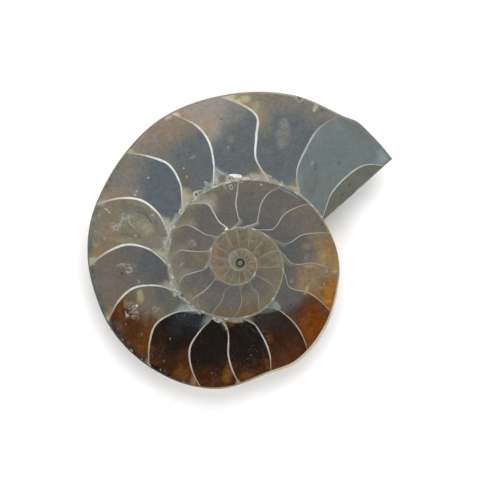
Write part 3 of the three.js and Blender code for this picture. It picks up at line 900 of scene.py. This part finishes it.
def mud_spot(u, v):
    return place(septum_angle(0, v) + (septum_angle(1, v) - septum_angle(0, v)) * u, v)


def plug_spot(u, v):
    sawn_edge = inner_corner.lerp(lip, v) - cut_normal * (EDGE_ROUND + INLAY_GAP)
    return sawn_edge.lerp(place(septum_angle(0, v), v), u)


bm = new_inlay()
lay_grid(bm, 56, 64, mud_spot, 0, mud_colour)
lay_grid(bm, 18, 60, plug_spot, 0, plug_colour)
close_inlay(bm, INLAY_DEPTH)
new_piece("mudstone_plug", bm, mudstone)

# ==== Chamber walls =================================================================================
# The septa: thin nacre partitions across the whorl, bowed towards the sawn end and thickest at the
# middle. The saw crosses each as a pale line, ivory in the outer whorl and tan further in.

SEPTUM_LIFT = 0.013   # the chamber walls polish a hair proud of the softer calcite
SEPTUM_DEPTH = 0.05
SEPTUM_STEPS = 36
FIRST_REACH = 0.9     # how much of the first wall is left, where the saw cut it short of the rim
# Breadth in mm at the middle, and minerals at the inner end, the middle and the outer end.
SEPTUM_LOOKS = [
    (0.38, "bone", "dust", "bone"), (0.44, "bone", "dust", "oat"), (0.52, "cream", "ivory", "cream"),
    (0.48, "chalk", "ivory", "buff"), (0.46, "cream", "ivory", "bone"),
    (0.46, "cream", "ivory", "cream"), (0.48, "cream", "chalk", "bone"),
    (0.44, "bone", "chalk", "straw"), (0.38, "bone", "cream", "straw"),
    (0.36, "celadon", "rose dust", "buff"), (0.36, "butter", "rose dust", "straw"),
    (0.34, "straw", "rose dust", "tan"), (0.26, "celadon", "bone", "tan"),
    (0.28, "bone", "buff", "tan"), (0.24, "bone", "buff", "tan"), (0.24, "dove", "bone", "buff"),
    (0.26, "dust", "bone", "buff"), (0.28, "dust", "bone", "straw"), (0.28, "bone", "dust", "bone"),
    (0.34, "ivory", "dust", "bone"), (0.26, "bone", "bone", "oat"), (0.24, "bone", "bone", "oat"),
    (0.24, "oat", "bone", "oat"), (0.24, "oat", "bone", "oat"),
]
YOUNG_SEPTUM = (0.2, "khaki", "pale khaki", "oat")

nacre, tree, shader = new_finish("nacre", 0.28)
mineral = laid_mineral(tree)[0]
layers = remap(tree, grain(tree, 2600, 4, 0.6), 0.3, 0.7, 0.86, 1.1)
pearly = times(tree, mineral, layers)
pearly = mix(tree, remap(tree, grain(tree, 700, 4), 0.5, 0.72, 0, 0.35), pearly, tone(120, 114, 102))
tree.links.new(pearly, shader.inputs["Base Color"])
tree.links.new(remap(tree, layers, 0.86, 1.1, 0.35, 0.22), shader.inputs["Roughness"])
dent(tree, shader, layers, 0.000006)


RIBBON_ROWS = 4
LOOK_AHEAD = 0.01     # share of a path over which its heading is taken


def lay_ribbon(bm, steps, path, breadth, lift, colour_at):
    """Adds a strip along path(t), breadth(t) mm across, standing that much proud of the face."""

    def spot_at(u, v):
        ahead, behind = path(min(u + LOOK_AHEAD, 1)), path(max(u - LOOK_AHEAD, 0))
        side = (ahead - behind).orthogonal().normalized()
        return path(u) + side * (v - 0.5) * breadth(u)

    lay_grid(bm, steps, RIBBON_ROWS, spot_at, lift, colour_at)


def lay_septum(bm, number):
    """Adds the chamber wall of that number, counted from the sawn end."""
    width, inner, middle, outer = (
        SEPTUM_LOOKS[number] if number < len(SEPTUM_LOOKS) else YOUNG_SEPTUM)

    def breadth(v):
        swell = 0.42 + 0.58 * math.sin(math.pi * min(max(v, 0), 1) ** 1.25) ** 0.8
        return width * swell * (1 + 0.2 * drift(path(v), 1.2, number))

    def path(v):
        v *= FIRST_REACH if number == 0 else 1
        return place(septum_angle(number, v), v)

    def colour_at(u, v, spot):
        colour = MINERALS[inner].lerp(MINERALS[outer], smooth(u, 0.3, 0.7))
        colour = colour.lerp(MINERALS[middle], smooth(u, 0.05, 0.35) * smooth(u, 0.95, 0.6))
        return colour.lerp(MINERALS["mole"], 0.5 * abs(2 * v - 1) ** 2)

    lay_ribbon(bm, SEPTUM_STEPS, path, breadth, SEPTUM_LIFT, colour_at)


bm = new_inlay()
for number in range(len(SEPTA) - 1):
    lay_septum(bm, number)
close_inlay(bm, SEPTUM_DEPTH)
new_piece("chamber_walls", bm, nacre)

# ==== Coil wall =====================================================================================
# The shell's own tube wall, sawn through: a pale line that winds from the sawn end in to the pit,
# between each whorl and the next, and thins with the size of the whorl.

COIL_WALL_LIFT, COIL_WALL_DEPTH, COIL_WALL_STEPS = 0.009, 0.055, 900
COIL_WALL = [  # winding angle, breadth in mm, mineral
    (387, 0.5, "oat"), (400, 0.42, "bone"), (415, 0.6, "oat"), (440, 0.5, "bone"), (465, 0.42, "bone"),
    (480, 0.34, "oat"), (500, 0.36, "bone"), (520, 0.55, "oat"), (555, 0.6, "bone"), (580, 0.5, "oat"),
    (640, 0.42, "oat"), (680, 0.36, "pale khaki"), (720, 0.34, "oat"), (780, 0.36, "oat"),
    (860, 0.36, "oat"), (930, 0.32, "oat"), (1000, 0.28, "pale khaki"), (1080, 0.28, "oat"),
    (1170, 0.26, "oat"), (1260, 0.24, "straw"), (1400, 0.2, "straw"),
]


def coil_angle(u):
    return INNER_ANGLE + (COIL_END - INNER_ANGLE) * u


def coil_path(u):
    return polar(coil_angle(u), through(OUTER_WALL, coil_angle(u)))


def coil_breadth(u):
    uneven = 1 + 0.45 * noise.noise(Vector((coil_angle(u) / 4, 0, 0)))
    return along_stops(COIL_WALL, coil_angle(u))[0] * uneven


def wall_colour(u, v, spot):
    colour = along_stops(COIL_WALL, coil_angle(u))[1]
    colour = colour.lerp(MINERALS["olive"], 0.7 * abs(2 * v - 1) ** 2)
    hollow = smooth(coil_angle(u), 470, 500) * smooth(coil_angle(u), 720, 650)
    colour = colour.lerp(MINERALS["olive"], hollow * smooth(abs(2 * v - 1), 0.6, 0.1))
    return colour.lerp(MINERALS["chalk"], 0.5 * smooth(drift(spot, 1.1, 2), 0.2, 0.5))


bm = new_inlay()
lay_ribbon(bm, COIL_WALL_STEPS, coil_path, coil_breadth, COIL_WALL_LIFT, wall_colour)
close_inlay(bm, COIL_WALL_DEPTH)
new_piece("coil_wall", bm, nacre)

# ==== Outer shell ===================================================================================
# The wall of the last whorl, sawn through along the rim of the face. Little of it is left, so it is a
# line that takes the colour of what lies beside it, a little wider where it meets the inner whorl.

RIM_LIFT, RIM_DEPTH, RIM_STEPS = 0.006, 0.05, 700
RIM_BAND = [  # winding angle, breadth in mm, mineral
    (34.4, 0.15, "blue mudstone"), (50, 0.15, "slate"), (60, 0.15, "oat"), (75, 0.2, "bone"),
    (90, 0.18, "oat"), (115, 0.2, "oat"), (130, 0.15, "olive"), (137, 0.15, "teal"),
    (170, 0.15, "sea"), (200, 0.15, "bottle"), (215, 0.15, "pitch"), (240, 0.15, "pitch"),
    (250, 0.15, "bark"), (262, 0.15, "tan"), (285, 0.15, "nut"), (300, 0.15, "cocoa"),
    (320, 0.15, "cocoa"), (340, 0.15, "bark"), (352, 0.2, "tan"), (366, 0.2, "honey"),
    (387, 0.3, "sand"),
]


def rim_angle(u):
    return LIP_ANGLE + (INNER_ANGLE - LIP_ANGLE) * u


def rim_colour(u, v, spot):
    colour = along_stops(RIM_BAND, rim_angle(u))[1]
    return colour * (1 + 0.35 * drift(spot, 0.9, 4))


def rim_spot(u, v):
    breadth = along_stops(RIM_BAND, rim_angle(u))[0]
    uneven = 1 + 0.3 * noise.noise(Vector((rim_angle(u) / 3, 5, 0)))
    return polar(rim_angle(u), face_radius(rim_angle(u)) + INLAY_GAP - (1 - v) * breadth * uneven)


bm = new_inlay()
lay_grid(bm, RIM_STEPS, RIBBON_ROWS, rim_spot, RIM_LIFT, rim_colour)
close_inlay(bm, RIM_DEPTH)
new_piece("outer_shell", bm, nacre)

# ==== Vugs and crust ================================================================================
# Bubbles of crystal crust along the coil wall and at the rim: a ring of white calcite round a heart of
# clear brown or olive calcite, and solid white scabs.

RING_LIFT, HEART_LIFT, CRUST_DEPTH = 0.024, 0.018, 0.06
HEART_RIM = 0.12      # share of the radius over which a ring slopes down to its heart
VUG_SIDES = 22
STEPS_PER_PLACE = 8   # of a line of crust
VUGS = [  # direction, radius, half length, half width in mm, turn, band as a share, crust, heart
    (102.2, 17.1, 0.85, 0.85, 0, 0.24, "oat", "olive"),
    (93.3, 17.2, 0.42, 1.3, -6, 0.5, "ivory", "ivory"), (97.0, 16.9, 0.3, 0.6, 20, 0.3, "dust", "oat"),
    (112.8, 16.8, 0.9, 0.45, 20, 0.5, "celadon", "celadon"),
    (122.6, 16.1, 0.55, 0.45, 30, 0.3, "dust", "mole"),
    (119.4, 14.9, 0.5, 0.55, 0, 0.2, "oat", "umber"), (97.1, 15.1, 0.6, 0.36, 0, 0.25, "dust", "olive"),
    (101.4, 15.4, 0.5, 0.3, 30, 0.3, "bone", "olive"), (89.6, 16.2, 0.35, 0.4, 0, 0.3, "bone", "taupe"),
    (85.7, 16.8, 0.25, 0.6, 0, 0.5, "chalk", "bone"), (78.5, 17.0, 0.22, 0.5, 0, 0.5, "cream", "cream"),
    (75.1, 16.0, 0.2, 0.3, 0, 0.5, "bone", "oat"), (107.6, 16.3, 0.3, 0.6, 0, 0.5, "bone", "oat"),
    (127.5, 15.8, 0.3, 0.6, 0, 0.4, "bone", "olive"),
    (139.2, 15.5, 0.45, 0.6, 20, 0.25, "dust", "butter"),
    (164.5, 14.8, 0.36, 0.9, 0, 0.3, "bone", "oat"), (205.6, 13.7, 0.4, 0.45, 30, 0.5, "bone", "oat"),
    (209.4, 13.1, 0.3, 0.4, 0, 0.25, "oat", "moss"),
    (247.0, 12.2, 0.4, 0.9, -10, 0.4, "bone", "butter"),
    (64.2, 34.2, 1.15, 0.6, 0, 0.2, "oat", "butter"), (70.2, 34.6, 0.85, 0.7, 0, 0.26, "bone", "olive"),
    (62.0, 34.3, 0.4, 0.3, 0, 0.3, "olive", "moss"), (112.2, 7.3, 0.16, 0.4, 30, 0.5, "ivory", "ivory"),
]


def lay_vug(bm, angle, radius, length, width, turn, band, crust, heart):
    """Adds a disc with a raised ring of crust, uneven and cut off where it would leave the face."""
    tint = bm.verts.layers.float_color["Mineral"]
    ring = bmesh.ops.create_circle(bm, cap_ends=True, segments=VUG_SIDES, radius=1)["verts"]
    disc = ring[0].link_faces[0]
    verts = set(ring)
    for step in (band, HEART_RIM):
        band_faces = bmesh.ops.inset_region(
            bm, faces=[disc], thickness=step, use_boundary=True, use_even_offset=True)["faces"]
        for side in [disc, *band_faces]:
            verts.update(side.verts)
    axis = polar(angle + turn, 1)
    for vert in verts:
        local = vert.co.to_2d()
        on_ring = local.length > 1 - band - HEART_RIM / 2
        uneven = 1 + 0.35 * noise.noise(Vector((local.x * 1.3, local.y * 1.3, angle)))
        spot = polar(angle, radius) + uneven * (
            axis * local.x * length + Vector((-axis.y, axis.x)) * local.y * width)
        spot *= min(1, face_radius(direction(spot) % 360) / spot.length)
        shade = MINERALS[crust if on_ring else heart].lerp(MINERALS["olive"], 0.5 * on_ring * max(
            noise.noise(Vector((local.x * 1.8, local.y * 1.8, radius))), 0))
        vert[tint] = shade * (1 + 0.25 * drift(spot, 0.4, 1))
        vert.co = put(spot, face_height + (RING_LIFT if on_ring else HEART_LIFT))


CRUST_LINES = [  # mineral, breadth in mm, and places as direction and radius
    ("rose bone", 0.5, (158.1, 29.0), (158.4, 28.2), (159.2, 27.5)),
    ("dust", 0.16, (156.9, 24.7), (157.4, 25.2), (160.3, 24.9), (163.6, 25.0), (165.1, 25.6),
     (163.6, 26.3)),
    ("dust", 0.18, (156.7, 24.0), (159.6, 23.4), (160.7, 22.7), (162.9, 21.0)),
    ("mole", 0.36, (153.4, 23.2), (152.5, 21.6), (154.3, 19.9), (156.4, 18.9)),
    ("dust", 0.2, (202.5, 24.6), (204.3, 24.7), (205.6, 24.3)),
    ("pale slate", 0.34, (74.6, 28.1), (71.9, 27.7), (70.3, 28.7)),
    ("pale slate", 0.3, (73.9, 29.9), (72.3, 28.6)),
    ("pale slate", 0.36, (68.8, 25.5), (69.4, 24.3), (72.0, 23.5)),
    ("pale slate", 0.3, (69.2, 27.3), (66.9, 25.8)),
    ("dust", 0.3, (104.6, 19.6), (102.7, 18.5), (99.0, 17.5), (96.5, 16.6)),
    ("dust", 0.4, (115.5, 15.9), (120.7, 16.5), (124.3, 16.5), (126.1, 15.8)),
    ("bone", 0.25, (117.5, 15.9), (122.8, 15.2), (129.2, 15.1)),
    ("bone", 0.34, (205.0, 13.9), (211.2, 13.5), (220.4, 12.8), (229.5, 12.8), (232.5, 12.9)),
    ("bone", 0.25, (209.6, 13.3), (215.5, 12.8), (221.0, 12.7)),
    ("butter", 0.45, (246.0, 12.3), (252.2, 12.0), (258.2, 13.2), (261.2, 14.3)),
    ("bone", 0.14, (124.4, 32.0), (126.5, 31.7), (130.9, 31.2), (133.1, 31.0)),
    ("cream", 0.16, (346.7, 17.0), (344.6, 17.2)), ("butter", 0.2, (32.0, 27.8), (33.0, 30.4)),
    ("bone", 0.3, (160.0, 14.6), (168.0, 14.5), (178.0, 14.5), (186.0, 14.2), (196.0, 13.9)),
    ("pale khaki", 0.28, (217.0, 10.3), (221.5, 11.3), (229.0, 12.1)),
    ("lichen", 0.4, (47.0, 17.2), (54.0, 16.9), (63.0, 16.7)),
]


def lay_crust_line(bm, mineral, width, *places):
    """Adds a wandering line of crust through the places."""
    spots_on = [polar(*spot) for spot in places]
    spots_on = [2 * spots_on[0] - spots_on[1], *spots_on, 2 * spots_on[-1] - spots_on[-2]]
    last = len(places) - 1

    def path(u):
        return Vector(
            through([(i - 1, spot[axis]) for i, spot in enumerate(spots_on)], u * last)
            for axis in (0, 1))

    def breadth(u):
        return width * (0.35 + 0.65 * math.sin(math.pi * u)) * (1 + 0.8 * drift(path(u), 0.5, width))

    def colour_at(u, v, spot):
        dull = 0.55 * smooth(drift(spot, 0.4, 3), -0.1, 0.4) + 0.4 * abs(2 * v - 1) ** 2
        return MINERALS[mineral].lerp(MINERALS["ash"], min(dull, 0.8))

    lay_ribbon(bm, STEPS_PER_PLACE * last, path, breadth, HEART_LIFT, colour_at)


bm = new_inlay()
for vug in VUGS:
    lay_vug(bm, *vug)
for line in CRUST_LINES:
    lay_crust_line(bm, *line)
close_inlay(bm, CRUST_DEPTH)
new_piece("vugs", bm, nacre)

# ==== Pit ===========================================================================================
# The first chamber of all, hollow, with its wall and floor lined by dark green-grey crystals that
# never filled it. They end in a pale lip that stands a hair proud of the polished face.

PIT_PROFILE = [  # radius and depth below the face in mm, mineral: floor, wall, rim and back
    (0, 0.4, "sage"), (0.2, 0.42, "sage"), (0.42, 0.44, "sage"), (0.58, 0.42, "moss"),
    (0.72, 0.32, "moss"), (0.8, 0.12, "moss"), (0.87, 0.0, "moss"), (0.94, -0.016, "moss"),
    (1.0, -0.016, "lichen"), (1.07, -0.016, "oat"), (1.12, -0.01, "oat"), (1.12, 0.045, "oat"),
    (0.9, 0.06, "pitch"), (0.84, 0.5, "pitch"), (0, 0.56, "pitch"),
]
PIT_COLUMNS = 48

pit_lining, tree, shader = new_finish("pit_lining", 0.4)
shader.inputs["Specular IOR Level"].default_value = 0.2
mineral = laid_mineral(tree)[0]
crystals = remap(tree, grain(tree, 4200, 3, 0.7), 0.3, 0.7, 0.6, 1.35)
tree.links.new(times(tree, mineral, crystals), shader.inputs["Base Color"])
dent(tree, shader, crystals, 0.00005)

bm = new_inlay()
tint = bm.verts.layers.float_color["Mineral"]
spin_rows(bm, 1, len(PIT_PROFILE), PIT_COLUMNS)
for vert in bm.verts:
    radius, depth, mineral_name = PIT_PROFILE[round(vert.co.length) - 1]
    spot = polar(direction(vert.co), radius)
    spot *= 1 + 0.12 * noise.noise(Vector((spot.x * 2, spot.y * 2, depth)))
    vert[tint] = MINERALS[mineral_name]
    vert.co = put(spot, face_height - depth)
bmesh.ops.remove_doubles(bm, verts=bm.verts, dist=1e-7)
bmesh.ops.recalc_face_normals(bm, faces=bm.faces)
new_piece("pit_lining", bm, pit_lining)

# ==== Table, lights and camera ======================================================================
# A plain pale table, matt so that it shows only the stone's soft shadow, under wide soft lights of
# which the far one is the brightest. The camera looks straight down on the polished face.

CAMERA_LENS, CAMERA_HEIGHT = 120, 316.3    # mm, the height above the polished face
CAMERA_AIM = Vector((-0.05, 4.55))         # mm from the coil's centre
TABLE_RADIUS = 1.6                         # metres
SOFTBOX_DISTANCE, SOFTBOX_SIZE = 1.0, 0.8  # metres

table_top, tree, shader = new_finish("table_top", 0.9)
shader.inputs["Base Color"].default_value = (0.93, 0.93, 0.93, 1)
shader.inputs["Specular IOR Level"].default_value = 0.0
bm = bmesh.new()
bmesh.ops.create_circle(bm, cap_ends=True, segments=96, radius=TABLE_RADIUS)
new_object("table_top", bm, table_top)


def add_softbox(name, azimuth, elevation, watts):
    """A square soft light that looks at the stone from that side."""
    light = bpy.data.lights.new(name, "AREA")
    light.shape = "SQUARE"
    light.size = SOFTBOX_SIZE
    light.energy = watts
    away = Vector((
        math.cos(math.radians(azimuth)) * math.cos(math.radians(elevation)),
        math.sin(math.radians(azimuth)) * math.cos(math.radians(elevation)),
        math.sin(math.radians(elevation)),
    ))
    lamp = bpy.data.objects.new(name, light)
    lamp.location = away * SOFTBOX_DISTANCE
    lamp.rotation_euler = away.to_track_quat("Z", "Y").to_euler()
    bpy.context.scene.collection.objects.link(lamp)


add_softbox("key", azimuth=86, elevation=52, watts=9.0)
add_softbox("fill_left", azimuth=195, elevation=46, watts=3.2)
add_softbox("fill_right", azimuth=340, elevation=46, watts=3.6)
add_softbox("fill_front", azimuth=265, elevation=46, watts=1.4)

# The room is bright all round and dim straight overhead, so that the polished face stays clear.
world = bpy.data.worlds.new("studio")
world.use_nodes = True
bpy.context.scene.world = world
tree = world.node_tree
tree.nodes.clear()
where = add_node(tree, "ShaderNodeTexCoord")
height = add_node(tree, "ShaderNodeSeparateXYZ", [("Vector", where.outputs["Generated"])])
glow = remap(tree, height.outputs["Z"], 0.7, 0.93, 0.5, 0.05)
ray = add_node(tree, "ShaderNodeLightPath")
seen = add_node(tree, "ShaderNodeBackground", [("Color", (0.97, 0.97, 0.98, 1)), ("Strength", 1.0)])
lit = add_node(tree, "ShaderNodeBackground", [("Color", (0.97, 0.98, 1.0, 1)), ("Strength", glow)])
pick = add_node(tree, "ShaderNodeMixShader", [(0, ray.outputs["Is Camera Ray"])])
tree.links.new(lit.outputs[0], pick.inputs[1])
tree.links.new(seen.outputs[0], pick.inputs[2])
add_node(tree, "ShaderNodeOutputWorld", [("Surface", pick.outputs[0])])

camera = bpy.data.cameras.new("camera")
camera.lens = CAMERA_LENS
camera.clip_start, camera.clip_end = 0.01, 10
eye = bpy.data.objects.new("camera", camera)
eye.location = put(CAMERA_AIM, face_height + CAMERA_HEIGHT)
bpy.context.scene.collection.objects.link(eye)
bpy.context.scene.camera = eye
bpy.context.scene.view_settings.view_transform = "Standard"
